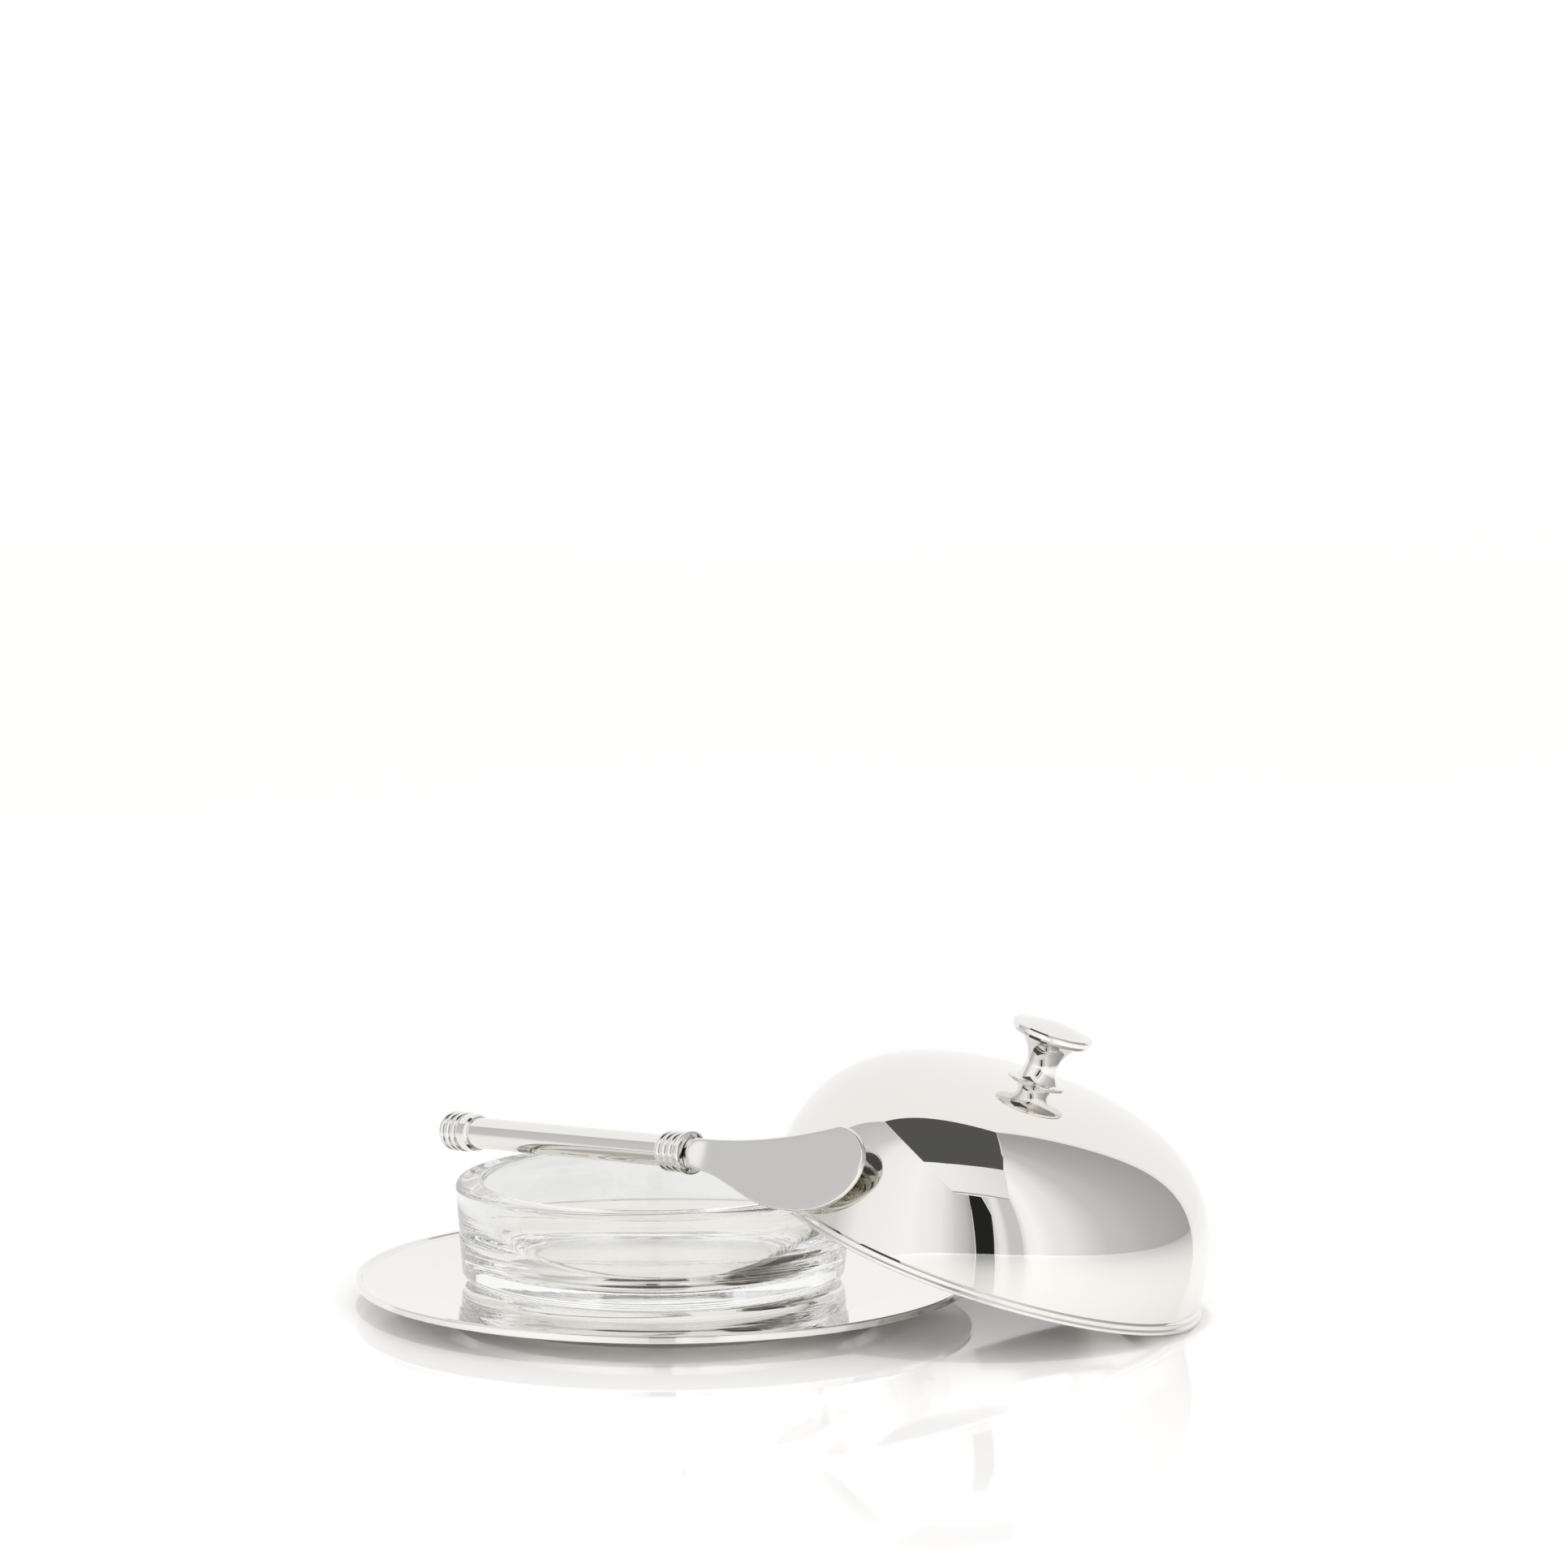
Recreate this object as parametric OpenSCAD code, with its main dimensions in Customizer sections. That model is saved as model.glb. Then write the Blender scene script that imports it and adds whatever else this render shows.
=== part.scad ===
// Covered butter dish: silver-plated plate, glass bowl, domed lid and spreader.
// The lid leans against the bowl and stands on the table; the spreader lies across the bowl.
// +Z is up, Z = 0 is the table, the Z axis is the plate's axis, and the lid lies towards +X.

/* [Plate] */
// Diameter of the plate over its rolled edge
plate_d = 140; // [130:1:160]
// Height of the plate's flat floor above the table
plate_floor_z = 5.2; // [4.8:0.1:6]
// Thickness of the plate's metal
plate_t = 1.4; // [1:0.1:1.8]
// Diameter of the flat floor, inside the rising rim
floor_d = 108; // [104:1:112]
// Rise of the rim from the floor to the rolled edge
rim_rise = 1.2; // [0.5:0.1:1.5]
// Height of the rolled edge round the plate
edge_h = 1.7; // [1.4:0.1:1.9]
// Width of the rolled edge
edge_w = 1.3; // [1.1:0.1:1.6]
// Outer diameter of the foot ring
foot_d = 98; // [90:1:104]
// Width of the foot ring's wall
foot_w = 2.6; // [2:0.1:4]

/* [Glass bowl] */
// Diameter of the bowl at its rim
bowl_d = 90; // [88:0.5:92]
// Diameter of the bowl just above its rounded base edge
bowl_base_d = 86.6; // [85:0.1:88]
// Height of the bowl
bowl_h = 22.9; // [21:0.1:25]
// Wall thickness at the rim
bowl_wall = 6.8; // [6:0.1:7.5]
// Thickness of the bowl's base
bowl_base_t = 3; // [2.5:0.1:5]
// Diameter of the flat floor inside the bowl
bowl_floor_d = 54; // [48:1:58]
// Fullness of the curve from the bowl's wall to its floor
hollow_power = 0.9; // [0.8:0.05:1]
// How far the bowl stands off the plate's centre, away from the lid
bowl_offset = 2.5; // [0:0.1:4]

/* [Lid] */
// Diameter of the lid at its lower edge
lid_d = 102.8; // [102:0.1:104]
// Height of the dome from the lower edge to its crown
dome_h = 39.6; // [36:0.1:43]
// Fullness of the dome's shoulder
dome_fullness = 2.7; // [2.3:0.1:3]
// Sharpness of the dome's crown
dome_crown = 0.37; // [0.33:0.01:0.42]
// Thickness of the lid's metal
lid_t = 0.8; // [0.7:0.1:1.2]
// Height of the band round the lid's lower edge
band_h = 2.4; // [1.6:0.1:3.5]
// How far the band stands out from the dome
band_proud = 1.2; // [0.8:0.1:1.4]
// Angle at which the lid leans against the bowl
lid_tilt = 17.75; // [17:0.05:18.5]

/* [Knob] */
// Diameter of the knob's top
knob_d = 18.4; // [15:0.1:22]
// Height of the knob above the dome's crown
knob_h = 14; // [11:0.1:17]
// Thickness of the knob's edge
knob_edge = 1.9; // [1.2:0.1:3]
// Diameter of the knob's waist
waist_d = 7.3; // [6.5:0.1:8]
// Diameter of the thin collar between the knob and the dome
collar_d = 13.2; // [12:0.1:14]
// Thread diameter of the screw that holds the knob
screw_d = 3; // [2.5:0.5:4]

/* [Spreader] */
// Diameter of the handle's tube
tube_d = 7.3; // [6.5:0.1:8.5]
// Diameter of the beads at both ends of the handle
bead_ring_d = 9.4; // [8.8:0.1:10]
// Diameter of the flared cups beside the beads
cup_d = 9.9; // [9:0.1:10.4]
// Distance between neighbouring beads
bead_pitch = 2.05; // [1.8:0.05:2.3]
// Length of the handle over its end pieces
handle_l = 86; // [83:0.1:89]
// Length of the blade beyond the handle
blade_l = 56.5; // [54:0.1:59]
// Thickness of the blade at its back
blade_t = 1.4; // [1:0.1:1.8]
// Direction of the spreader, seen from above
spreader_turn = -36.7; // [-38:0.1:-36]
// Rise of the spreader towards the blade's tip
spreader_rise = 4.1; // [4:0.1:4.6]
// Lean of the blade's back towards the lid
spreader_lean = 20; // [15:1:25]

/* [Hidden] */

seg = 128;
fit_gap = 0.3;

silver = [0.88, 0.87, 0.84];
satin = [0.72, 0.72, 0.71];
brass_screw = [0.78, 0.65, 0.38];
resin = [0.55, 0.47, 0.38];
clear_glass = [0.85, 0.92, 0.92, 0.35];

// Plate
plate_r = plate_d / 2;
rim_z = plate_floor_z + rim_rise;
rim_in = plate_r - edge_w;
edge_top = rim_z + 0.35;

// Bowl
bowl_r = bowl_d / 2;
bowl_z = plate_floor_z + fit_gap;
bowl_top = bowl_z + bowl_h;
bowl_corner = 3.2;
bowl_lip = 1.6;

// Lid: its centre is where the lid's axis meets the plane of its lower edge. The inside of that
// edge crosses the outside of the bowl's rim, whose rounded lip leaves the gap between them.
lid_r = lid_d / 2;
dome_r = lid_r - band_proud;
lid_inner_r = dome_r - lid_t;
lid_z = lid_r * sin(lid_tilt);
lean_reach = (bowl_top - 0.1 - lid_z) / tan(lid_tilt);
lean_x = sqrt(pow(bowl_r, 2) - pow(lid_inner_r, 2) + pow(lean_reach / cos(lid_tilt), 2));
lid_x = lean_x + lean_reach - bowl_offset;

// Knob
dome_hole_d = screw_d + 0.4;
crown_z = dome_h - 0.1;
collar_h = 0.7;
waist_h = 3.4;
neck_z = crown_z + collar_h - 0.15;
knob_top = crown_z + knob_h;

// Spreader: its own X axis runs along the handle, from the rear beads to the tip
tube_r = tube_d / 2;
bead_r = 1.06;
bead_ring_r = bead_ring_d / 2;
rear_beads_l = 3 * bead_pitch;
front_beads_l = 3 * bead_pitch;
rear_cup_l = 4;
front_cup_l = 2.2;
tube_start = rear_beads_l + rear_cup_l - 2;
tube_end = handle_l - front_cup_l - front_beads_l + 1;
tang_l = 40;
neck_l = 2.6;
rest_at = 26.1;
rest_point = [-38.7, 23.2, bowl_top + tube_r + fit_gap];

function arc(c, r, a0, a1, n = 8) =
    [for (i = [0:n]) [c[0] + r * cos(a0 + (a1 - a0) * i / n), c[1] + r * sin(a0 + (a1 - a0) * i / n)]];
function dome_at(t, r, h) = [r * pow(1 - pow(t, dome_fullness), dome_crown), t * h];
function dome_curve(r, h) = [for (i = [0:28]) dome_at(sin(90 * i / 28), r, h)];
function back_to_front(points) = [for (i = [len(points) - 1:-1:0]) points[i]];

// Places a lid part, drawn upright on the Z axis, where the leaning lid has it
module on_lid() {
    translate([lid_x, 0, lid_z]) rotate([0, lid_tilt, 0]) children();
}

// Places a spreader part, drawn along X from the rear end, across the bowl
module on_spreader() {
    translate(rest_point)
        rotate([-spreader_lean, -spreader_rise, spreader_turn])
            translate([-rest_at, 0, 0]) children();
}

// A solid turned round the handle's axis, from [distance along, radius] points
module turned(points) {
    rotate([0, 90, 0]) rotate_extrude($fn = 64) polygon([for (p = points) [p[1], p[0]]]);
}

module plate_dish() {
    color(silver) rotate_extrude($fn = seg) polygon([
        [0, plate_floor_z],
        [floor_d / 2, plate_floor_z],
        [floor_d / 2 + 2, plate_floor_z + 0.15],
        [rim_in, rim_z],
        [rim_in, rim_z - plate_t + 0.5],
        [floor_d / 2 + 2, plate_floor_z - plate_t + 0.15],
        [floor_d / 2, plate_floor_z - plate_t],
        [0, plate_floor_z - plate_t]
    ]);
}

module plate_edge_wire() {
    round_r = 0.4;
    low = edge_top - edge_h;
    color(silver) rotate_extrude($fn = seg) polygon(concat(
        arc([rim_in + round_r, low + round_r], round_r, 180, 270, 5),
        arc([plate_r - round_r, low + round_r], round_r, 270, 360, 5),
        arc([plate_r - round_r, edge_top - round_r], round_r, 0, 90, 5),
        arc([rim_in + round_r, edge_top - round_r], round_r, 90, 180, 5)
    ));
}

module plate_foot() {
    foot_top = plate_floor_z - plate_t;
    color(silver) rotate_extrude($fn = seg) polygon([
        [foot_d / 2 - foot_w, 0],
        [foot_d / 2 - 0.4, 0],
        [foot_d / 2, 0.4],
        [foot_d / 2 - 0.5, foot_top],
        [foot_d / 2 - foot_w, foot_top]
    ]);
}

module glass_bowl() {
    base_r = bowl_base_d / 2;
    inner_top = bowl_r - bowl_wall;
    floor_z = bowl_z + bowl_base_t;
    floor_r = bowl_floor_d / 2;
    hollow_z = bowl_top - bowl_lip;
    color(clear_glass) translate([-bowl_offset, 0, 0]) rotate_extrude($fn = seg) polygon(concat(
        [[0, bowl_z]],
        arc([base_r - bowl_corner, bowl_z + bowl_corner], bowl_corner, -90, -2, 8),
        arc([bowl_r - bowl_lip, bowl_top - bowl_lip], bowl_lip, 0, 90, 6),
        arc([inner_top + bowl_lip, bowl_top - bowl_lip], bowl_lip, 90, 180, 6),
        [for (i = [1:15]) [floor_r + (inner_top - floor_r) * pow(cos(6 * i), hollow_power),
                           hollow_z - (hollow_z - floor_z) * pow(sin(6 * i), hollow_power)]],
        [[0, floor_z]]
    ));
}

module lid_dome() {
    outer = dome_curve(dome_r, dome_h);
    inner = dome_curve(lid_inner_r, dome_h - lid_t);
    color(silver) on_lid() difference() {
        rotate_extrude($fn = seg) polygon(concat(outer, back_to_front(inner)));
        cylinder(d = dome_hole_d, h = dome_h + 5, $fn = 32);
    }
}

module lid_band() {
    color(silver) on_lid() rotate_extrude($fn = seg) polygon([
        [dome_r - 0.15, 0],
        [lid_r - 0.25, 0],
        [lid_r, 0.25],
        [lid_r, 0.7],
        [lid_r - 0.35, 1],
        [lid_r - 0.1, 1.4],
        [lid_r - 0.3, band_h - 0.2],
        [dome_r + 0.1, band_h],
        [dome_r - 0.15, band_h]
    ]);
}

module knob() {
    top_r = knob_d / 2;
    rim_low = knob_top - 1.3 - knob_edge;
    waist_r = waist_d / 2;
    flare_r = rim_low - neck_z - waist_h;
    color(silver) on_lid() difference() {
        rotate_extrude($fn = 96) polygon(concat(
            [[0, neck_z]],
            arc([waist_r + 5, neck_z + waist_h], 5, 222, 180, 6),
            arc([waist_r + flare_r, neck_z + waist_h], flare_r, 174, 105, 10),
            [[top_r - 0.35, rim_low + 0.1], [top_r, rim_low + 0.5], [top_r, rim_low + knob_edge - 0.5],
             [top_r - 0.5, rim_low + knob_edge], [top_r - 1.6, rim_low + knob_edge + 0.15],
             [top_r * 0.5, knob_top - 0.35], [0, knob_top]]
        ));
        translate([0, 0, neck_z - 1]) cylinder(d = screw_d, h = 7, $fn = 32);
    }
}

module knob_collar() {
    collar_r = collar_d / 2;
    color(silver) on_lid() difference() {
        translate([0, 0, crown_z]) rotate_extrude($fn = 96) polygon([
            [0, -0.1], [collar_r - 0.25, -0.1], [collar_r, 0.1], [collar_r, 0.35],
            [collar_r - 0.3, 0.55], [collar_r - 1.4, collar_h], [0, collar_h]
        ]);
        cylinder(d = dome_hole_d, h = dome_h + 5, $fn = 32);
    }
}

module knob_screw() {
    head_z = dome_h - lid_t - 2.95;
    color(brass_screw) on_lid() difference() {
        union() {
            translate([0, 0, head_z]) cylinder(d = 6, h = 2, $fn = 48);
            translate([0, 0, head_z + 1]) cylinder(d = screw_d, h = neck_z + 5 - head_z - 1, $fn = 32);
        }
        translate([-4, -0.4, head_z - 0.5]) cube([8, 0.8, 1.4]);
    }
}

module knob_washer() {
    color(brass_screw) on_lid() difference() {
        translate([0, 0, dome_h - lid_t - 0.93]) cylinder(d = 8.4, h = 0.87, $fn = 48);
        translate([0, 0, dome_h - lid_t - 2]) cylinder(d = dome_hole_d, h = 4, $fn = 32);
    }
}

// Height of the blade's back and of its edge at a distance along it
function blade_back(x) = 3.5 + 5.6 * pow(max(0, x - neck_l) / 44, 2);
function blade_edge(x) = -3.7 - 7 * pow(sin(90 * min(1, max(0, x - neck_l) / 30)), 1.8);

module blade() {
    back_end = 44 + neck_l;
    edge_end = 35 + neck_l;
    tip_z = 1.2;
    high = blade_back(back_end) - tip_z;
    low = tip_z - blade_edge(edge_end);
    back = [for (i = [0:16]) let (x = back_end * i / 16) [x, blade_back(x)]];
    edge = [for (i = [0:16]) let (x = edge_end * i / 16) [x, blade_edge(x)]];
    nose_top = [for (a = [84:-6:0]) [back_end + (blade_l - back_end) * cos(a), tip_z + high * sin(a)]];
    nose_low = [for (a = [6:6:84]) [edge_end + (blade_l - edge_end) * cos(a), tip_z - low * sin(a)]];
    color(satin) on_spreader() union() {
        translate([handle_l - 0.6, blade_t / 2, 0]) rotate([90, 0, 0])
            linear_extrude(blade_t) polygon(concat(back, nose_top, nose_low, back_to_front(edge)));
        translate([handle_l - tang_l, -0.7, -1.1]) cube([tang_l, 1.4, 2.2]);
    }
}

module front_cup() {
    x0 = handle_l - front_cup_l;
    color(silver) on_spreader() difference() {
        turned([[x0, 0], [x0, tube_r], [x0 + 0.5, tube_r + 0.3], [x0 + 1, tube_r + 0.9],
                [x0 + 1.5, cup_d / 2], [handle_l - 0.1, cup_d / 2 - 0.1],
                [handle_l, cup_d / 2 - 0.4], [handle_l, 0]]);
        translate([x0 - 1, -0.75, -1.15]) cube([front_cup_l + 2, 1.5, 2.3]);
    }
}

module bead_row(x0, count, bore_r) {
    difference() {
        union() {
            for (i = [0:count - 1])
                translate([x0 + (i + 0.5) * bead_pitch, 0, 0]) rotate([0, 90, 0])
                    rotate_extrude($fn = 64)
                        translate([bead_ring_r - bead_r, 0]) circle(r = bead_r, $fn = 32);
            translate([x0, 0, 0]) rotate([0, 90, 0])
                cylinder(r = tube_r - 0.2, h = count * bead_pitch, $fn = 64);
        }
        translate([x0 - 1, 0, 0]) rotate([0, 90, 0])
            cylinder(r = bore_r, h = count * bead_pitch + 2, $fn = 64);
    }
}

module front_beads() {
    color(silver) on_spreader()
        bead_row(handle_l - front_cup_l - front_beads_l, 3, tube_r - 0.7);
}

module handle_tube() {
    color(silver) on_spreader() difference() {
        translate([tube_start, 0, 0]) rotate([0, 90, 0])
            cylinder(r = tube_r, h = tube_end - tube_start, $fn = 64);
        translate([tube_start - 1, 0, 0]) rotate([0, 90, 0])
            cylinder(r = tube_r - 0.7, h = tube_end - tube_start + 2, $fn = 64);
    }
}

module handle_filler() {
    fill_start = tube_start + 1;
    fill_end = handle_l - front_cup_l;
    color(resin) on_spreader() difference() {
        translate([fill_start, 0, 0]) rotate([0, 90, 0])
            cylinder(r = tube_r - 0.72, h = fill_end - fill_start, $fn = 64);
        translate([handle_l - tang_l - 0.1, -0.75, -1.15]) cube([tang_l, 1.5, 2.3]);
    }
}

module rear_cup() {
    color(silver) on_spreader() difference() {
        turned([[rear_beads_l - 0.2, 0], [rear_beads_l - 0.2, bead_ring_r - 1],
                [rear_beads_l + 0.6, bead_ring_r - 0.35], [rear_beads_l + 2.8, bead_ring_r - 0.3],
                [rear_beads_l + rear_cup_l - 0.3, bead_ring_r - 0.7],
                [rear_beads_l + rear_cup_l, bead_ring_r - 1.1], [rear_beads_l + rear_cup_l, 0]]);
        translate([tube_start - 0.02, 0, 0]) rotate([0, 90, 0])
            cylinder(r = tube_r + 0.02, h = 20, $fn = 64);
    }
}

module rear_beads() {
    color(silver) on_spreader() union() {
        for (i = [0:2])
            translate([(i + 0.5) * bead_pitch, 0, 0]) rotate([0, 90, 0])
                rotate_extrude($fn = 64)
                    translate([bead_ring_r - bead_r - (i == 0 ? 0.5 : 0), 0])
                        circle(r = bead_r, $fn = 32);
        turned([[0.35, 0], [0.35, tube_r - 0.9], [0.9, tube_r - 0.2],
                [rear_beads_l - 0.3, tube_r - 0.2], [rear_beads_l - 0.3, 0]]);
    }
}

plate_dish();
plate_edge_wire();
plate_foot();
glass_bowl();
lid_dome();
lid_band();
knob();
knob_collar();
knob_screw();
knob_washer();
blade();
front_cup();
front_beads();
handle_tube();
handle_filler();
rear_cup();
rear_beads();
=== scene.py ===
"""Covered butter dish: a silver-plated plate, a thick glass bowl, a domed lid that leans on the
bowl, and a spreader laid across it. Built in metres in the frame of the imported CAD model."""
from math import atan2, cos, hypot, pi, radians, sin, sqrt, tan

import bpy
from mathutils import Matrix, Vector


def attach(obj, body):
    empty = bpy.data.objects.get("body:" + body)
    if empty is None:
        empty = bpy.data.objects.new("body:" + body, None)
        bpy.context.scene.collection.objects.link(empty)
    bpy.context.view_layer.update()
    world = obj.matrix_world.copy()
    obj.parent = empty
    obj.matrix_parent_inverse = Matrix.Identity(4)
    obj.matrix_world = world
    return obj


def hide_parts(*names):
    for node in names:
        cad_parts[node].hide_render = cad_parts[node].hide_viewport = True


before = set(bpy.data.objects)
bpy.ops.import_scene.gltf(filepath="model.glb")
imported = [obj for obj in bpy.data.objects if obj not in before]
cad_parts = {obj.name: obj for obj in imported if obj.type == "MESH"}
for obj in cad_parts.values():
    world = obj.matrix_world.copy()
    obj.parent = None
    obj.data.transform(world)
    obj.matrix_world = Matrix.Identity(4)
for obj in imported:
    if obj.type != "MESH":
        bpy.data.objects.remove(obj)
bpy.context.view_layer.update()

MM = 0.001

# How far, in millimetres, the plate's and lid's edges keep inside the CAD model's box
PLATE_INSET = 0.03
LID_INSET = 0.02

# Driving dimensions, the same as the CAD model's
PLATE_R = 70 * MM
PLATE_FLOOR = 5.2 * MM
PLATE_T = 1.4 * MM
FLOOR_R = 54 * MM
EDGE_TOP = PLATE_FLOOR + 1.55 * MM
EDGE_H = 1.7 * MM
FOOT_R = 49 * MM
FOOT_W = 2.6 * MM
BOWL_R = 45 * MM
BOWL_BASE_R = 43.3 * MM
BOWL_OFFSET = 2.5 * MM
BOWL_BOTTOM = PLATE_FLOOR + 0.3 * MM
BOWL_TOP = BOWL_BOTTOM + 22.9 * MM
BOWL_WALL = 6.8 * MM
BOWL_LIP = 1.6 * MM
BOWL_BASE_T = 3 * MM
BOWL_FLOOR_R = 27 * MM
HOLLOW_POWER = 0.9
LID_R = 51.4 * MM
DOME_R = 50.2 * MM
DOME_H = 39.6 * MM
LID_T = 0.8 * MM
BAND_H = 2.4 * MM
LID_TILT = radians(17.75)
DOME_FULLNESS = 2.7
DOME_CROWN = 0.37
KNOB_R = 9.2 * MM
KNOB_H = 14 * MM
WAIST_R = 3.65 * MM
COLLAR_R = 6.6 * MM
TUBE_R = 3.65 * MM
BEAD_RING_R = 4.7 * MM
CUP_R = 4.95 * MM
BEAD_PITCH = 2.05 * MM
HANDLE_L = 86 * MM
FRONT_CUP_L = 2.2 * MM
BLADE_L = 56.5 * MM
NECK_L = 2.6 * MM
REST_AT = 26.1 * MM

# The camera: where it stands, which way it turns from +Y, and how far it looks down
CAMERA_TURN = radians(11.285)
CAMERA_PLACE = Vector((0.0271, -1.2686, 0.2636))
CAMERA_DOWN = 0.114
CAMERA_LENS = 130.4


# ---------------------------------------------------------------- frames of the leaning pieces

def lid_matrix():
    """The lid's own frame: its origin in the plane of its lower edge, +Z along its axis."""
    centre_z = LID_R * sin(LID_TILT)
    reach = (BOWL_TOP - 0.1 * MM - centre_z) / tan(LID_TILT)
    inner_r = DOME_R - LID_T
    lean_x = sqrt(BOWL_R ** 2 - inner_r ** 2 + (reach / cos(LID_TILT)) ** 2)
    place = (lean_x + reach - BOWL_OFFSET, 0, centre_z)
    return Matrix.Translation(place) @ Matrix.Rotation(LID_TILT, 4, "Y")


def spreader_matrix():
    """The spreader's own frame: +X from the rear beads to the tip, +Z towards the blade's back."""
    place = Vector((-38.7 * MM, 23.2 * MM, BOWL_TOP + TUBE_R + 0.3 * MM))
    turn = Matrix.Rotation(radians(-36.7), 4, "Z")
    rise = Matrix.Rotation(radians(-4.1), 4, "Y")
    lean = Matrix.Rotation(radians(-20), 4, "X")
    return Matrix.Translation(place) @ turn @ rise @ lean @ Matrix.Translation((-REST_AT, 0, 0))


ON_PLATE = Matrix.Identity(4)
ON_BOWL = Matrix.Translation((-BOWL_OFFSET, 0, 0))
ON_LID = lid_matrix()
ON_SPREADER = spreader_matrix()
ALONG_X = ON_SPREADER @ Matrix.Rotation(pi / 2, 4, "Y")


# ---------------------------------------------------------------- outlines for turned pieces
# An outline is a list of (radius, height, normal_r, normal_z). It runs with the material on its
# left, so the normals on its right point out of the surface.

def straight_normal(a, b):
    """The normal on the right of the straight line from a to b."""
    length = hypot(b[0] - a[0], b[1] - a[1])
    return ((b[1] - a[1]) / length, -(b[0] - a[0]) / length)


def corner(before, at, after, radius, steps=7):
    """The arc that rounds one corner of an outline, with its true normals."""
    n_in = straight_normal(before, at)
    n_out = straight_normal(at, after)
    if radius == 0:
        return [(*at, *n_in), (*at, *n_out)]
    turn = atan2(n_in[0] * n_out[1] - n_in[1] * n_out[0], n_in[0] * n_out[0] + n_in[1] * n_out[1])
    cut = radius * tan(abs(turn) / 2)
    d_in = (-n_in[1], n_in[0])
    side = 1 if turn > 0 else -1
    start = (at[0] - d_in[0] * cut, at[1] - d_in[1] * cut)
    centre = (start[0] - side * n_in[0] * radius, start[1] - side * n_in[1] * radius)
    arc = []
    for i in range(steps + 1):
        a = turn * i / steps
        n = (n_in[0] * cos(a) - n_in[1] * sin(a), n_in[0] * sin(a) + n_in[1] * cos(a))
        arc.append((centre[0] + side * n[0] * radius, centre[1] + side * n[1] * radius, *n))
    return arc


def rounded(points):
    """An outline through (radius, height, corner radius) points, in millimetres."""
    pts = [(p[0] * MM, p[1] * MM, (p[2] if len(p) > 2 else 0) * MM) for p in points]
    first = straight_normal(pts[0][:2], pts[1][:2])
    last = straight_normal(pts[-2][:2], pts[-1][:2])
    outline = [(*pts[0][:2], *first)]
    for a, b, c in zip(pts, pts[1:], pts[2:]):
        outline += corner(a[:2], b[:2], c[:2], b[2])
    return outline + [(*pts[-1][:2], *last)]


def curve(points):
    """An outline along a smooth run of (radius, height) points, in metres."""
    outline = []
    for i, p in enumerate(points):
        a = points[max(0, i - 1)]
        b = points[min(len(points) - 1, i + 1)]
        outline.append((*p, *straight_normal(a, b)))
    return outline


def turned(name, outlines, matrix, segments=256):
    """One mesh turned round its own Z axis from several outlines, with exact normals."""
    verts, faces, normals, rings = [], [], [], {}

    def ring(r, z):
        key = (round(r, 7), round(z, 7))
        if key not in rings:
            rings[key] = len(verts)
            count = 1 if r < 1e-6 else segments
            for k in range(count):
                a = 2 * pi * k / segments
                verts.append(matrix @ Vector((r * cos(a), r * sin(a), z)))
        return rings[key]

    spin = matrix.to_3x3()
    for outline in outlines:
        for (r0, z0, *n0), (r1, z1, *n1) in zip(outline, outline[1:]):
            if hypot(r1 - r0, z1 - z0) < 1e-7:
                continue
            i0, i1 = ring(r0, z0), ring(r1, z1)
            for k in range(segments):
                m = (k + 1) % segments
                loop = []
                if r0 >= 1e-6:
                    loop += [(i0 + k, n0, k), (i0 + m, n0, m)]
                else:
                    loop += [(i0, n0, k)]
                if r1 >= 1e-6:
                    loop += [(i1 + m, n1, m), (i1 + k, n1, k)]
                else:
                    loop += [(i1, n1, k)]
                faces.append([v for v, _, _ in loop])
                for _, n, at in loop:
                    a = 2 * pi * at / segments
                    normals.append((spin @ Vector((n[0] * cos(a), n[0] * sin(a), n[1]))).normalized())
    mesh = bpy.data.meshes.new(name)
    mesh.from_pydata(verts, [], faces)
    mesh.shade_smooth()
    mesh.normals_split_custom_set(normals)
    piece = bpy.data.objects.new(name, mesh)
    bpy.context.collection.objects.link(piece)
    return piece


def dress(piece, material, body, slot, *nodes):
    """Gives a piece its material and body, and hides the CAD nodes that it stands for."""
    piece.data.materials.clear()
    piece.data.materials.append(material)
    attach(piece, body)
    if nodes:
        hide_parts(*nodes)


# ---------------------------------------------------------------- materials

def new_material(name):
    """A new material with its node tree and its shader."""
    mat = bpy.data.materials.new(name)
    mat.use_nodes = True
    tree = mat.node_tree
    return mat, tree, tree.nodes["Principled BSDF"]


def noise(tree, scale, detail=2.0, stretch=None):
    """A noise texture in object space, optionally stretched along an axis."""
    coords = tree.nodes.new("ShaderNodeTexCoord")
    tex = tree.nodes.new("ShaderNodeTexNoise")
    tex.inputs["Scale"].default_value = scale
    tex.inputs["Detail"].default_value = detail
    if stretch:
        mapping = tree.nodes.new("ShaderNodeMapping")
        mapping.inputs["Rotation"].default_value = stretch[0]
        mapping.inputs["Scale"].default_value = stretch[1]
        tree.links.new(coords.outputs["Object"], mapping.inputs["Vector"])
        tree.links.new(mapping.outputs["Vector"], tex.inputs["Vector"])
    else:
        tree.links.new(coords.outputs["Object"], tex.inputs["Vector"])
    return tex


def span(tree, source, low, high):
    """Maps the middle of a noise texture's range to a range of its own."""
    node = tree.nodes.new("ShaderNodeMapRange")
    node.inputs["From Min"].default_value = 0.3
    node.inputs["From Max"].default_value = 0.7
    node.inputs["To Min"].default_value = low
    node.inputs["To Max"].default_value = high
    tree.links.new(source, node.inputs["Value"])
    return node.outputs["Result"]


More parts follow.
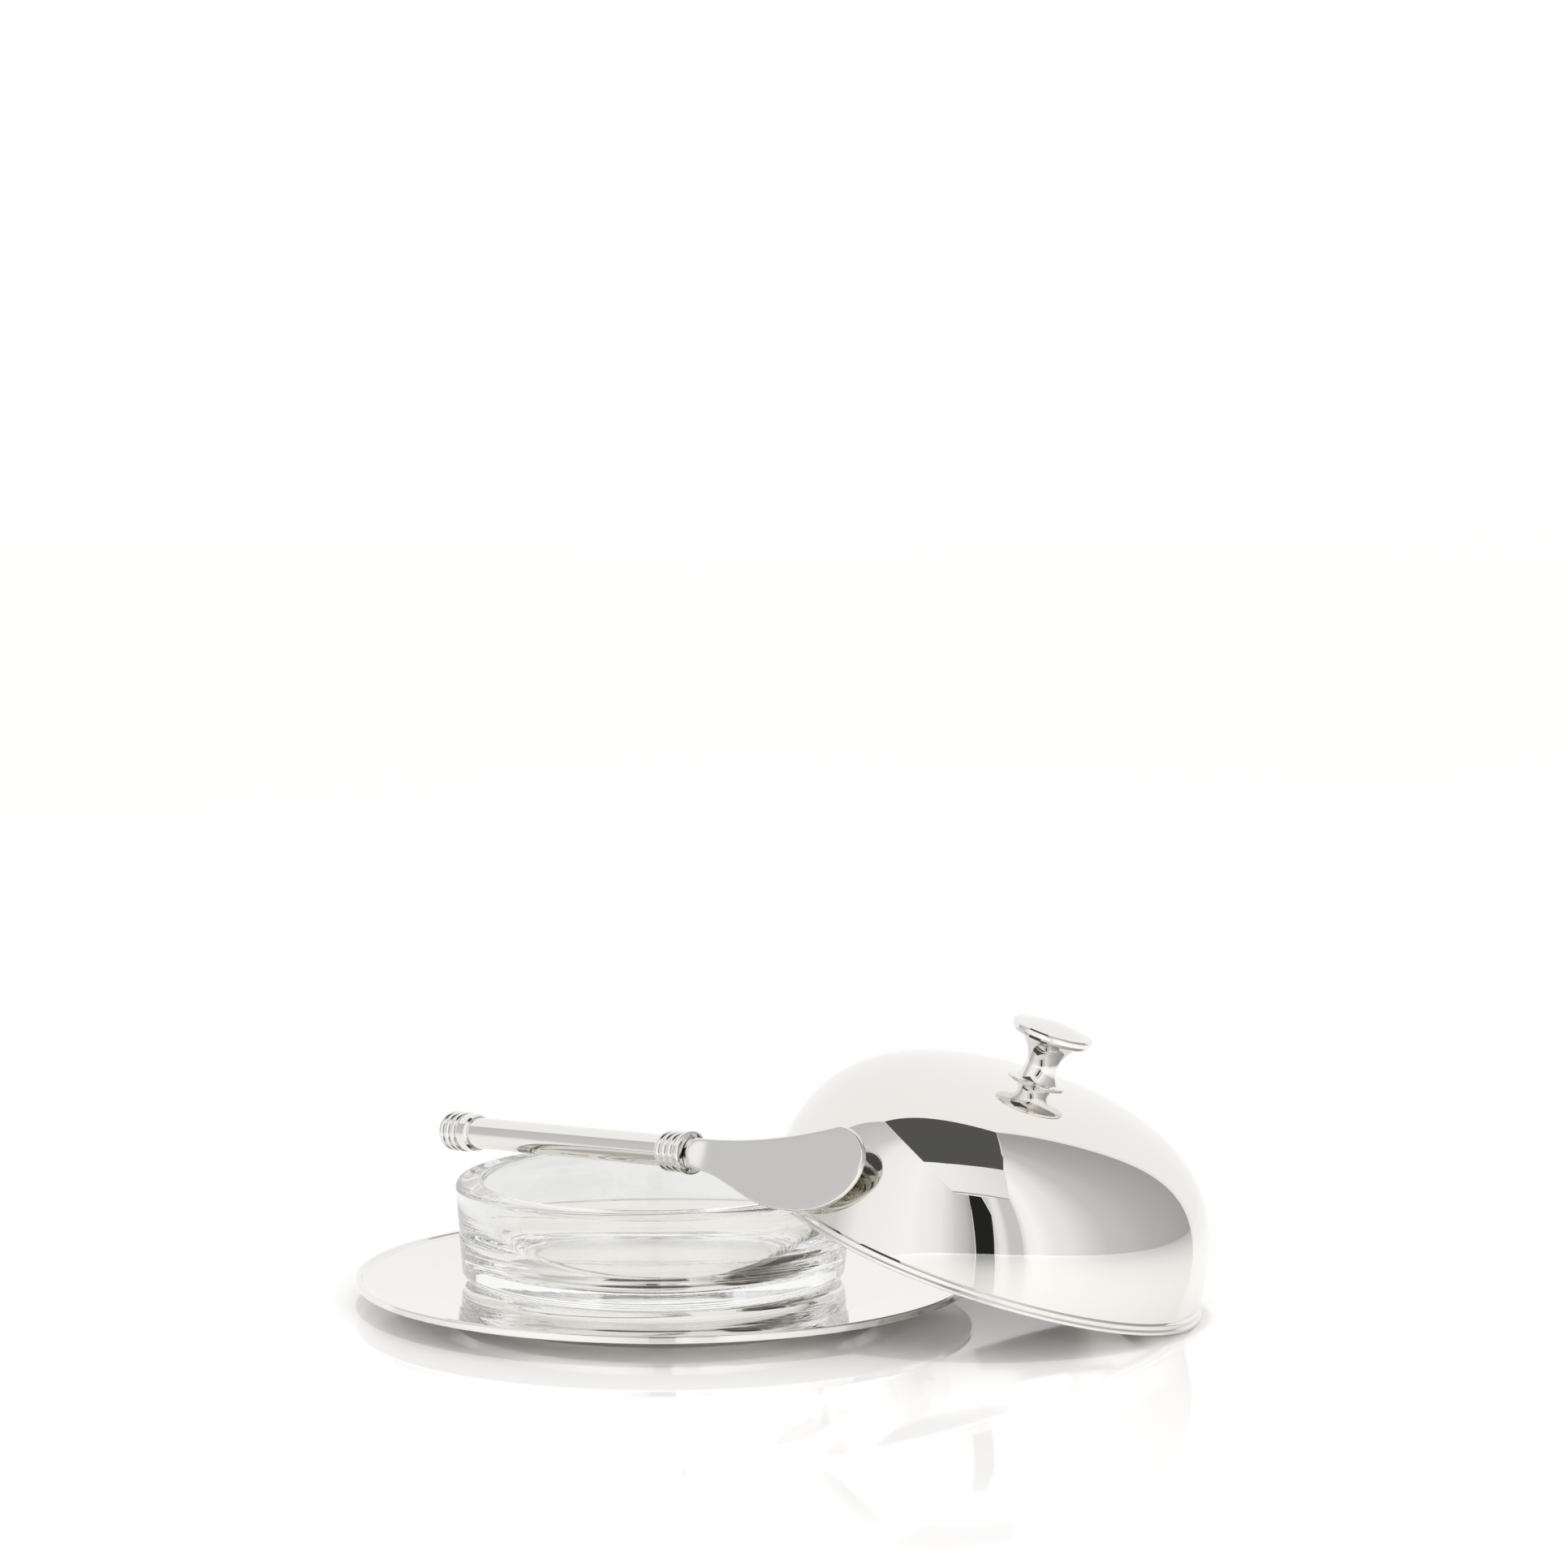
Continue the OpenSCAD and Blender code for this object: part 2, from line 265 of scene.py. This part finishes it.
def blend_colours(tree, source, a, b):
    """Mixes two colours by a noise texture's value."""
    ramp = tree.nodes.new("ShaderNodeValToRGB")
    ramp.color_ramp.elements[0].color = (*a, 1)
    ramp.color_ramp.elements[1].color = (*b, 1)
    ramp.color_ramp.elements[0].position = 0.3
    ramp.color_ramp.elements[1].position = 0.7
    tree.links.new(source, ramp.inputs["Fac"])
    return ramp.outputs["Color"]


def bump(tree, bsdf, height, strength, distance):
    """Gives a shader a bump from a height value."""
    node = tree.nodes.new("ShaderNodeBump")
    node.inputs["Strength"].default_value = strength
    node.inputs["Distance"].default_value = distance
    tree.links.new(height, node.inputs["Height"])
    tree.links.new(node.outputs["Normal"], bsdf.inputs["Normal"])


def silver_material(name, rough, tint=(0.825, 0.81, 0.78), wave=0.02):
    """Polished silver plate: nearly a mirror, with faint waves and hand-rubbed haze."""
    mat, tree, bsdf = new_material(name)
    bsdf.inputs["Metallic"].default_value = 1.0
    cloud = noise(tree, 35, 3)
    darker = tuple(c * 0.985 for c in tint)
    tree.links.new(blend_colours(tree, cloud.outputs["Fac"], tint, darker), bsdf.inputs["Base Color"])
    rub = noise(tree, 900, 4)
    tree.links.new(span(tree, rub.outputs["Fac"], rough * 0.6, rough * 1.4), bsdf.inputs["Roughness"])
    swell = noise(tree, 28, 1)
    bump(tree, bsdf, swell.outputs["Fac"], wave, 0.3 * MM)
    return mat


def blade_material():
    """The blade's polished steel, with the finest marks of the polishing wheel along it."""
    mat, tree, bsdf = new_material("polished_blade")
    bsdf.inputs["Metallic"].default_value = 1.0
    brush = noise(tree, 1.0, 5, ((0, 0, radians(36.7)), (40, 1200, 1200)))
    tone = noise(tree, 40, 2)
    tree.links.new(
        blend_colours(tree, tone.outputs["Fac"], (0.82, 0.81, 0.79), (0.805, 0.795, 0.775)),
        bsdf.inputs["Base Color"])
    tree.links.new(span(tree, brush.outputs["Fac"], 0.06, 0.11), bsdf.inputs["Roughness"])
    bump(tree, bsdf, brush.outputs["Fac"], 0.02, 0.02 * MM)
    return mat


def around(tree, ring_scale, height_scale):
    """Coordinates that run round the bowl's axis, so a texture draws long lines round it."""
    coords = tree.nodes.new("ShaderNodeTexCoord")
    shift = tree.nodes.new("ShaderNodeMapping")
    shift.inputs["Location"].default_value = (BOWL_OFFSET, 0, 0)
    split = tree.nodes.new("ShaderNodeSeparateXYZ")
    flat = tree.nodes.new("ShaderNodeVectorMath")
    flat.operation = "MULTIPLY"
    flat.inputs[1].default_value = (1, 1, 0)
    radius = tree.nodes.new("ShaderNodeVectorMath")
    radius.operation = "LENGTH"
    angle = tree.nodes.new("ShaderNodeMath")
    angle.operation = "ARCTAN2"
    joined = tree.nodes.new("ShaderNodeCombineXYZ")
    scaled = tree.nodes.new("ShaderNodeVectorMath")
    scaled.operation = "MULTIPLY"
    scaled.inputs[1].default_value = (ring_scale, height_scale, 0.25)
    tree.links.new(coords.outputs["Object"], shift.inputs["Vector"])
    tree.links.new(shift.outputs["Vector"], flat.inputs[0])
    tree.links.new(shift.outputs["Vector"], split.inputs["Vector"])
    tree.links.new(flat.outputs["Vector"], radius.inputs[0])
    tree.links.new(split.outputs["Y"], angle.inputs[0])
    tree.links.new(split.outputs["X"], angle.inputs[1])
    tree.links.new(radius.outputs["Value"], joined.inputs["X"])
    tree.links.new(split.outputs["Z"], joined.inputs["Y"])
    tree.links.new(angle.outputs["Value"], joined.inputs["Z"])
    tree.links.new(joined.outputs["Vector"], scaled.inputs[0])
    return scaled.outputs["Vector"]


def glass_material():
    """Clear pressed glass with the fine lines that the mould leaves round it."""
    mat, tree, bsdf = new_material("clear_glass")
    bsdf.inputs["Base Color"].default_value = (0.985, 0.985, 0.978, 1)
    bsdf.inputs["Transmission Weight"].default_value = 1.0
    bsdf.inputs["IOR"].default_value = 1.5
    haze = noise(tree, 500, 2)
    tree.links.new(span(tree, haze.outputs["Fac"], 0.0, 0.01), bsdf.inputs["Roughness"])
    lines = tree.nodes.new("ShaderNodeTexNoise")
    lines.inputs["Scale"].default_value = 1.0
    lines.inputs["Detail"].default_value = 2.0
    tree.links.new(around(tree, 620, 420), lines.inputs["Vector"])
    bump(tree, bsdf, lines.outputs["Fac"], 0.05, 0.35 * MM)
    return mat


def brass_material():
    """Turned brass of the knob's screw and washer."""
    mat, tree, bsdf = new_material("turned_brass")
    bsdf.inputs["Metallic"].default_value = 1.0
    tone = noise(tree, 300, 3)
    tree.links.new(
        blend_colours(tree, tone.outputs["Fac"], (0.78, 0.62, 0.34), (0.66, 0.50, 0.26)),
        bsdf.inputs["Base Color"])
    rings = noise(tree, 1500, 2)
    tree.links.new(span(tree, rings.outputs["Fac"], 0.2, 0.35), bsdf.inputs["Roughness"])
    return mat


def resin_material():
    """The cement that fills the handle."""
    mat, tree, bsdf = new_material("handle_cement")
    grain = noise(tree, 700, 4)
    tree.links.new(
        blend_colours(tree, grain.outputs["Fac"], (0.50, 0.42, 0.33), (0.36, 0.30, 0.23)),
        bsdf.inputs["Base Color"])
    bsdf.inputs["Roughness"].default_value = 0.8
    bump(tree, bsdf, grain.outputs["Fac"], 0.3, 0.2 * MM)
    return mat


def floor_material():
    """Glossy white acrylic sheet."""
    mat, tree, bsdf = new_material("white_acrylic")
    tone = noise(tree, 3, 2)
    tree.links.new(
        blend_colours(tree, tone.outputs["Fac"], (0.775, 0.775, 0.775), (0.76, 0.76, 0.76)),
        bsdf.inputs["Base Color"])
    bsdf.inputs["Roughness"].default_value = 0.05
    bsdf.inputs["IOR"].default_value = 1.4
    return mat


# ---------------------------------------------------------------- plate

def plate(silver):
    """The dish: a flat floor whose rim rises in a long shallow curve to a square rolled edge."""
    top = PLATE_FLOOR / MM
    under = top - PLATE_T / MM
    floor = FLOOR_R / MM
    high = EDGE_TOP / MM
    low = high - EDGE_H / MM
    edge = PLATE_R / MM - PLATE_INSET
    edge_in = PLATE_R / MM - 1.2
    outline = rounded([
        (0, under), (floor - 1, under, 6), (floor + 6, under + 0.45, 12), (edge_in, low, 0.3),
        (edge, low, 0.35), (edge, high, 0.4), (edge_in, high, 0.35), (edge_in - 0.35, high - 0.45, 0.3),
        (edge_in - 1.4, high - 0.75, 1.5), (floor + 7, top + 0.42, 30), (floor + 0.2, top, 9), (0, top)])
    dish = turned("plate", [outline], ON_PLATE)
    dress(dish, silver, "plate", "silver", "plate_dish", "plate_edge_wire")


def foot(silver):
    """The ring that the plate stands on."""
    top = (PLATE_FLOOR - PLATE_T) / MM
    inside = (FOOT_R - FOOT_W) / MM
    outside = FOOT_R / MM
    outline = rounded([
        (inside, top + 0.1), (inside, 0, 0.3), (outside - 0.2, 0, 0.5), (outside - 0.4, 1.6, 2),
        (outside - 0.8, top + 0.1)])
    ring = turned("plate_foot_ring", [outline], ON_PLATE)
    dress(ring, silver, "plate", "silver", "plate_foot")


# ---------------------------------------------------------------- bowl

def bowl(glass):
    """Thick glass with a heavy base, a rounded lip and a hollow that curves down to its floor."""
    bottom = BOWL_BOTTOM / MM
    top = BOWL_TOP / MM
    inside = (BOWL_R - BOWL_WALL) / MM
    lip = BOWL_LIP / MM
    outside = rounded([
        (0, bottom + 0.35), (37.5, bottom + 0.35, 1), (38.5, bottom, 0.8),
        (BOWL_BASE_R / MM, bottom, 3), (BOWL_R / MM, top, lip), (inside, top, lip), (inside, top - lip)])
    depth = top - lip - bottom - BOWL_BASE_T / MM
    steps = 40
    hollow = []
    for i in range(steps + 1):
        t = pi / 2 * i / steps
        r = BOWL_FLOOR_R / MM + (inside - BOWL_FLOOR_R / MM) * cos(t) ** HOLLOW_POWER
        hollow.append((r * MM, (top - lip - depth * sin(t) ** HOLLOW_POWER) * MM))
    hollow[-1] = (BOWL_FLOOR_R, (top - lip - depth) * MM)
    hollow = curve(hollow)
    hollow[0] = (*hollow[0][:2], -1, 0)
    hollow[-1] = (*hollow[-1][:2], 0, 1)
    hollow.append((0, hollow[-1][1], 0, 1))
    piece = turned("bowl", [outside, hollow], ON_BOWL)
    dress(piece, glass, "bowl", "glass", "glass_bowl")


# ---------------------------------------------------------------- lid

def dome_points(radius, height, count=60):
    """The (radius, height) points of the dome's curve, from its lower edge to its crown."""
    points = []
    for i in range(count + 1):
        t = sin(pi / 2 * i / count)
        points.append((radius * (1 - t ** DOME_FULLNESS) ** DOME_CROWN, t * height))
    points[-1] = (0.0, height)
    return points


def dome_outline(radius, height):
    """The dome's curve from its lower edge to its crown, with the crown's normal along the axis."""
    outline = curve(dome_points(radius, height))
    outline[0] = (*outline[0][:2], 1.0, 0.0)
    outline[-1] = (*outline[-1][:2], 0.0, 1.0)
    return outline


def lid_dome(silver):
    """The dome's shell, inside and out."""
    outer = dome_outline(DOME_R, DOME_H)
    inner = [(r, z, -nr, -nz) for r, z, nr, nz in reversed(dome_outline(DOME_R - LID_T, DOME_H - LID_T))]
    edge = [((DOME_R - LID_T), 0, 0, -1), (DOME_R, 0, 0, -1)]
    shell = turned("lid_shell", [edge, outer, inner], ON_LID, 384)
    dress(shell, silver, "lid", "silver", "lid_dome")


def lid_band(silver):
    """The band applied round the lower edge: a wire, a groove and a flat step."""
    low = LID_R / MM - LID_INSET
    wall = DOME_R / MM
    outline = rounded([
        (wall - 0.1, 0.0), (low - 0.2, 0.0, 0.15), (low, 0.15, 0.2), (low, 0.85, 0.3),
        (low - 0.55, 1.0, 0.12), (low - 0.5, 1.15, 0.1), (low - 0.42, 2.05, 0.25),
        (wall - 0.2, BAND_H / MM)])
    band = turned("lid_rim_band", [outline], ON_LID, 384)
    dress(band, silver, "lid", "silver", "lid_band")


def knob(silver):
    """The turned knob: a waisted stem that flares to a broad, bevelled, slightly domed top."""
    crown = DOME_H / MM - 0.1
    top = crown + KNOB_H / MM
    low = top - 3.2
    wide = KNOB_R / MM
    waist, waist_h = WAIST_R / MM, crown + 4
    flare = low - waist_h
    stem = [((waist + 5 + 5 * cos(a)) * MM, (waist_h + 5 * sin(a)) * MM)
            for a in (radians(t) for t in range(222, 180, -4))]
    stem += [((waist + flare + flare * cos(a)) * MM, (waist_h + flare * sin(a)) * MM)
             for a in (radians(t) for t in range(180, 104, -5))]
    head = rounded([
        (stem[-1][0] / MM, stem[-1][1] / MM), (wide - 0.25, low + 0.1, 0.25),
        (wide, low + 0.55, 0.3), (wide, low + 1.5, 0.35), (wide - 0.45, low + 1.88, 0.3),
        (wide - 1.3, low + 1.98, 0.6), (wide - 3.6, top - 0.62, 10), (2.5, top - 0.12, 12), (0, top)])
    piece = turned("knob_turned", [curve(stem), head], ON_LID)
    dress(piece, silver, "lid", "silver", "knob")


def knob_collar(silver):
    """The thin collar between the knob and the dome."""
    base = DOME_H / MM - 0.1
    wide = COLLAR_R / MM
    outline = rounded([
        (3.5, base - 0.1), (wide - 0.2, base - 0.1, 0.05), (wide, base + 0.1, 0.1),
        (wide, base + 0.35, 0.15), (wide - 0.3, base + 0.52, 0.2), (wide - 1.2, base + 0.66, 0.6),
        (3.5, base + 0.69)])
    piece = turned("knob_base_collar", [outline], ON_LID)
    dress(piece, silver, "lid", "silver", "knob_collar")


# ---------------------------------------------------------------- spreader

def smooth_step(x):
    """A smooth ramp from 0 to 1."""
    x = min(1.0, max(0.0, x))
    return x * x * (3 - 2 * x)


def blade_back(x):
    """Height of the blade's back, in millimetres, at a distance from the handle."""
    start, end, nose = NECK_L / MM, 44 + NECK_L / MM, BLADE_L / MM
    if x <= end:
        return 3.5 + 5.6 * (max(0.0, x - start) / 44) ** 2
    return 1.2 + 7.9 * sqrt(max(0.0, 1 - ((x - end) / (nose - end)) ** 2))


def blade_edge(x):
    """Height of the blade's edge, in millimetres, at a distance from the handle."""
    start, end, nose = NECK_L / MM, 35 + NECK_L / MM, BLADE_L / MM
    if x <= end:
        return -3.7 - 7.0 * sin(pi / 2 * min(1.0, max(0.0, x - start) / 30)) ** 1.8
    return 1.2 - 11.9 * sqrt(max(0.0, 1 - ((x - end) / (nose - end)) ** 2))


def blade_half_thickness(x, v):
    """Half the blade's thickness, in millimetres, at a distance x from the handle. The height v runs
    from -1 at the edge to 1 at the back."""
    nose_l = 2.2
    edge_thin = 0.75
    root = 1 - smooth_step(x / 9)
    thick = 0.68 + 1.7 * root ** 2
    power = 2.2 + 16 * (1 - root)
    nose = (1 - min(1.0, max(0.0, (x - BLADE_L / MM + nose_l) / nose_l)) ** 6) ** (1 / 6)
    taper = edge_thin + (1 - edge_thin) * smooth_step((v + 1) / 1.2)
    return thick * taper * nose * max(0.0, 1 - abs(v) ** power) ** (1 / min(power, 3))


def blade(steel):
    """The blade: nearly flat faces with rounded edges, swelling to an oval where it meets the cup."""
    length = BLADE_L / MM
    sunk = 0.4
    stations = [length * sin(pi / 2 * i / 90) for i in range(91)]
    stations = [s for s in stations if s < length * 0.9995] + [length * 0.9996]
    across = 24
    columns = [sin(pi / 2 * k / across) for k in range(-across, across + 1)]
    section = [(v, 1) for v in columns] + [(v, -1) for v in reversed(columns[1:-1])]
    count = len(section)
    verts, faces = [], []
    for x in stations:
        high, low = blade_back(x), blade_edge(x)
        mid, half = (high + low) / 2, (high - low) / 2
        for v, side in section:
            place = Vector((HANDLE_L + (x - sunk) * MM, side * blade_half_thickness(x, v) * MM,
                            (mid + v * half) * MM))
            verts.append(ON_SPREADER @ place)
    for i in range(len(stations) - 1):
        a, b = i * count, (i + 1) * count
        for k in range(count):
            m = (k + 1) % count
            faces.append((a + k, a + m, b + m, b + k))
    last = (len(stations) - 1) * count
    faces.append(tuple(reversed(range(count))))
    faces.append(tuple(last + k for k in range(count)))
    mesh = bpy.data.meshes.new("spreader_blade")
    mesh.from_pydata(verts, [], faces)
    mesh.shade_smooth()
    mesh.set_sharp_from_angle(angle=radians(50))
    piece = bpy.data.objects.new("spreader_blade", mesh)
    bpy.context.collection.objects.link(piece)
    dress(piece, steel, "spreader", "satin_steel", "blade")


def bead_run(start, count, end_r):
    """An outline over a row of beads along the handle, in millimetres."""
    pitch = BEAD_PITCH / MM
    ring_r = BEAD_RING_R / MM
    swell = pitch * 0.5
    outline = [(end_r * MM, start * MM, 0, -1)]
    for i in range(count):
        middle = start + (i + 0.5) * pitch
        for k in range(17):
            a = radians(-84 + 168 * k / 16)
            outline.append((
                (ring_r - swell + swell * cos(a)) * MM, (middle + swell * sin(a)) * MM, cos(a), sin(a)))
    return outline + [(end_r * MM, (start + count * pitch) * MM, 0, 1)]


def spreader_handle(silver):
    """The turned pieces of the handle, from the rear beads to the flared cup at the blade."""
    handle = HANDLE_L / MM
    pitch = BEAD_PITCH / MM
    rear_end = 3 * pitch
    cup_start = handle - FRONT_CUP_L / MM
    front_start = cup_start - 3 * pitch
    tube_r = TUBE_R / MM
    bore_r = tube_r - 0.7
    ring_r = BEAD_RING_R / MM
    rear = turned("rear_beads_cap", [
        rounded([(0, 0.5), (2.4, 0.5, 0.3), (3.0, 0.3, 0.3), (3.4, 0.35)]),
        bead_run(0.05, 3, 3.4)], ALONG_X)
    dress(rear, silver, "spreader", "silver", "rear_beads")
    cup = turned("rear_cup_turned", [rounded([
        (3.0, rear_end), (ring_r - 0.75, rear_end, 0.1), (ring_r - 0.3, rear_end + 0.5, 0.4),
        (ring_r - 0.35, rear_end + 3.1, 0.5), (ring_r - 0.75, rear_end + 3.9, 0.3),
        (tube_r - 0.1, rear_end + 4.0)])], ALONG_X)
    dress(cup, silver, "spreader", "silver", "rear_cup")
    tube_start, tube_end = rear_end + 2, front_start + 1
    tube = turned("handle_barrel", [rounded([
        (bore_r, tube_end), (bore_r, tube_start, 0.05), (tube_r, tube_start, 0.05),
        (tube_r, tube_end, 0.05), (bore_r, tube_end)])], ALONG_X)
    dress(tube, silver, "spreader", "silver", "handle_tube")
    beads = turned("front_bead_collar", [bead_run(front_start, 3, 3.2)], ALONG_X)
    dress(beads, silver, "spreader", "silver", "front_beads")
    cup_r = CUP_R / MM
    lip = turned("front_cup_flared", [rounded([
        (2.6, cup_start), (4.0, cup_start, 0.2), (4.2, handle - 1.7, 0.5),
        (cup_r - 0.1, handle - 1.2, 0.4), (cup_r, handle - 0.25, 0.3), (cup_r - 0.5, handle, 0.2),
        (3.6, handle - 0.5, 0.5), (1.5, handle - 0.7)])], ALONG_X)
    dress(lip, silver, "spreader", "silver", "front_cup")


# ---------------------------------------------------------------- CAD pieces that stay

def finish_cad_nodes(brass, resin):
    """Gives the CAD nodes that stay in the model their materials."""
    for node, material in (("knob_screw", brass), ("knob_washer", brass), ("handle_filler", resin)):
        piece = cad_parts[node]
        piece.data.materials.clear()
        piece.data.materials.append(material)


# ---------------------------------------------------------------- studio

STUDIO_CENTRE = Vector((0.05, 0.0, 0.03))


def towards(azimuth, elevation, distance):
    """A place seen from the dish: azimuth 0 is towards the camera and grows to its right."""
    a, e = radians(azimuth), radians(elevation)
    flat = Vector((sin(a) * cos(e), -cos(a) * cos(e), sin(e)))
    return STUDIO_CENTRE + distance * (Matrix.Rotation(CAMERA_TURN, 3, "Z") @ flat)


def card(name, corners, stops, distance=1.3):
    """A studio panel whose corners are (azimuth, elevation) pairs seen from the dish. Its
    brightness runs through (azimuth, strength) stops."""
    verts = [towards(a, e, distance) for a, e in corners]
    mesh = bpy.data.meshes.new(name)
    mesh.from_pydata(verts, [], [tuple(range(len(verts)))])
    mesh.materials.append(glow_material(name, stops))
    obj = bpy.data.objects.new(name, mesh)
    obj.visible_camera = False
    obj.visible_shadow = False
    obj.visible_diffuse = False
    bpy.context.collection.objects.link(obj)


def glow_material(name, stops):
    """A light-giving material whose strength follows the direction round the dish."""
    mat = bpy.data.materials.new(name)
    mat.use_nodes = True
    tree = mat.node_tree
    tree.nodes.clear()
    out = tree.nodes.new("ShaderNodeOutputMaterial")
    glow = tree.nodes.new("ShaderNodeEmission")
    first, last = stops[0][0], stops[-1][0]
    middle = radians(first + last) / 2
    coords = tree.nodes.new("ShaderNodeTexCoord")
    turn = tree.nodes.new("ShaderNodeMapping")
    turn.vector_type = "TEXTURE"
    turn.inputs["Location"].default_value = STUDIO_CENTRE
    turn.inputs["Rotation"].default_value = (0, 0, CAMERA_TURN + middle - pi / 2)
    split = tree.nodes.new("ShaderNodeSeparateXYZ")
    angle = tree.nodes.new("ShaderNodeMath")
    angle.operation = "ARCTAN2"
    place = tree.nodes.new("ShaderNodeMapRange")
    place.inputs["From Min"].default_value = radians(first - last) / 2
    place.inputs["From Max"].default_value = radians(last - first) / 2
    ramp = tree.nodes.new("ShaderNodeValToRGB")
    peak = max(strength for _, strength in stops)
    while len(ramp.color_ramp.elements) < len(stops):
        ramp.color_ramp.elements.new(0.5)
    for element, (at, strength) in zip(ramp.color_ramp.elements, stops):
        element.position = (at - first) / (last - first)
        element.color = (strength / peak, strength / peak, strength / peak, 1)
    glow.inputs["Strength"].default_value = peak
    tree.links.new(coords.outputs["Object"], turn.inputs["Vector"])
    tree.links.new(turn.outputs["Vector"], split.inputs["Vector"])
    tree.links.new(split.outputs["Y"], angle.inputs[0])
    tree.links.new(split.outputs["X"], angle.inputs[1])
    tree.links.new(angle.outputs["Value"], place.inputs["Value"])
    tree.links.new(place.outputs["Result"], ramp.inputs["Fac"])
    tree.links.new(ramp.outputs["Color"], glow.inputs["Color"])
    tree.links.new(glow.outputs["Emission"], out.inputs["Surface"])
    return mat


def lamp(name, place, width, height, power):
    """An area light aimed at the dish that lights the floor and shows in no reflection."""
    data = bpy.data.lights.new(name, "AREA")
    data.shape = "RECTANGLE"
    data.size = width
    data.size_y = height
    data.energy = power
    data.color = (1.0, 0.975, 0.94)
    obj = bpy.data.objects.new(name, data)
    obj.location = place
    obj.rotation_euler = (STUDIO_CENTRE - place).to_track_quat("-Z", "Y").to_euler()
    obj.visible_glossy = False
    obj.visible_camera = False
    obj.visible_transmission = False
    bpy.context.collection.objects.link(obj)


def level(name, height, size, material):
    """A level square of floor."""
    mesh = bpy.data.meshes.new(name)
    corners = [(-size, -size, height), (size, -size, height), (size, size, height), (-size, size, height)]
    mesh.from_pydata(corners, [], [(0, 1, 2, 3)])
    mesh.materials.append(material)
    obj = bpy.data.objects.new(name, mesh)
    bpy.context.collection.objects.link(obj)
    return obj


def studio():
    """A tent of two lit walls, a dark roof and a gap in front, with white all round it."""
    world = bpy.data.worlds.new("studio")
    world.use_nodes = True
    sky = world.node_tree.nodes["Background"]
    sky.inputs["Color"].default_value = (1.0, 0.998, 0.992, 1)
    sky.inputs["Strength"].default_value = 1.02
    bpy.context.scene.world = world

    card("wall_left", [(-115.5, -2), (-17.9, -2), (-17.9, 38.4), (-28, 47.2), (-43, 55.5), (-115.5, 59.8)],
         [(-115.5, 0.60), (-85, 0.72), (-70, 1.02), (-40, 1.10), (-24, 0.98), (-17.9, 0.80)])
    card("front_left", [(-17.9, -2), (-7, -2), (-7.8, 37.4), (-17.9, 37.4)],
         [(-17.9, 0.78), (-11, 0.60), (-7, 0.42)])
    card("front_gap", [(-6.6, -3), (2.4, -3), (3.4, 24), (0, 37.6), (-8.2, 37.6), (-7.4, 26)],
         [(-8.2, 0.02), (3.4, 0.02)])
    card("front_right", [(2.6, -3), (17, -3), (17.6, 38.4), (0.4, 37.9), (3.6, 24)],
         [(2.6, 0.70), (5.5, 0.95), (8, 0.92), (10.5, 0.68), (17, 0.68)])
    card("front_bar", [(-17.9, 37.4), (17.6, 37.6), (17.6, 38.6), (-17.9, 38.4)],
         [(-17.9, 0.42), (17.6, 0.42)], 1.29)
    card("front_top", [(-17.9, 38.4), (17.6, 38.6), (31.9, 62.2), (0, 63.6), (-24, 60.7), (-43, 55.5)],
         [(-43, 1.08), (-10, 1.0), (31.9, 0.86)])
    card("wall_right", [(17, -3), (127, -5), (134, 70.3), (64, 73.4), (54.5, 71.2), (31.9, 62.2),
                        (17.6, 38.6)],
         [(17, 0.82), (20, 1.08), (25, 1.12), (33, 0.99), (42, 0.93), (52, 0.79), (62, 0.66),
          (75, 0.62), (88, 0.54), (100, 0.50), (112, 0.46), (127, 0.42)])
    card("wall_edge", [(125.4, -5), (128, -5), (135, 70), (132.8, 70)], [(125, 0.95), (135, 0.95)], 1.28)
    card("roof", [(-115.5, 60.2), (-43.5, 56), (-24, 61), (0, 63.9), (31.5, 62.5), (54.5, 71.6),
                  (64, 73.8), (133.5, 70.6)], [(-115.5, 0.10), (133.5, 0.10)])

    overhead = bpy.data.lights.new("overhead", "SUN")
    overhead.energy = 0.75
    overhead.angle = radians(5)
    sun = bpy.data.objects.new("overhead", overhead)
    sun.visible_glossy = False
    sun.visible_transmission = False
    bpy.context.collection.objects.link(sun)
    lamp("front_fill", towards(-4, 13, 1.1), 1.4, 0.3, 10)
    lamp("right_fill", towards(55, 13, 1.1), 0.8, 0.3, 6)

    size = 4.0
    level("floor", 0, size, floor_material())
    # Painted shade: a sheet just above the floor glows at one even strength and shows only through the
    # glass. The floor seen through the bowl looks dimmer than the lamps light it.
    painted_floor_glow = glow_material("painted_floor_glow", [(-90, 0.84), (90, 0.84)])
    seen_through = level("painted_glow_through_glass", 0.2 * MM, size, painted_floor_glow)
    seen_through.visible_camera = False
    seen_through.visible_glossy = False
    seen_through.visible_diffuse = False
    seen_through.visible_shadow = False


def camera():
    """The camera: a long lens that looks slightly down at the dish."""
    data = bpy.data.cameras.new("camera")
    data.lens = CAMERA_LENS
    data.sensor_width = 36
    data.clip_end = 50
    obj = bpy.data.objects.new("camera", data)
    obj.location = Matrix.Rotation(CAMERA_TURN, 3, "Z") @ CAMERA_PLACE
    obj.rotation_euler = (pi / 2 - CAMERA_DOWN, 0, CAMERA_TURN)
    bpy.context.collection.objects.link(obj)
    bpy.context.scene.camera = obj


# ---------------------------------------------------------------- build

mirror = silver_material("silver_mirror", 0.02)
rubbed = silver_material("silver_rubbed", 0.05, wave=0.03)
plate(mirror)
foot(rubbed)
bowl(glass_material())
lid_dome(mirror)
lid_band(mirror)
knob(mirror)
knob_collar(mirror)
blade(blade_material())
spreader_handle(rubbed)
finish_cad_nodes(brass_material(), resin_material())
studio()
camera()
bpy.context.scene.view_settings.view_transform = "Standard"
paths = bpy.context.scene.cycles
paths.max_bounces = 32
paths.glossy_bounces = 20
paths.transmission_bounces = 24
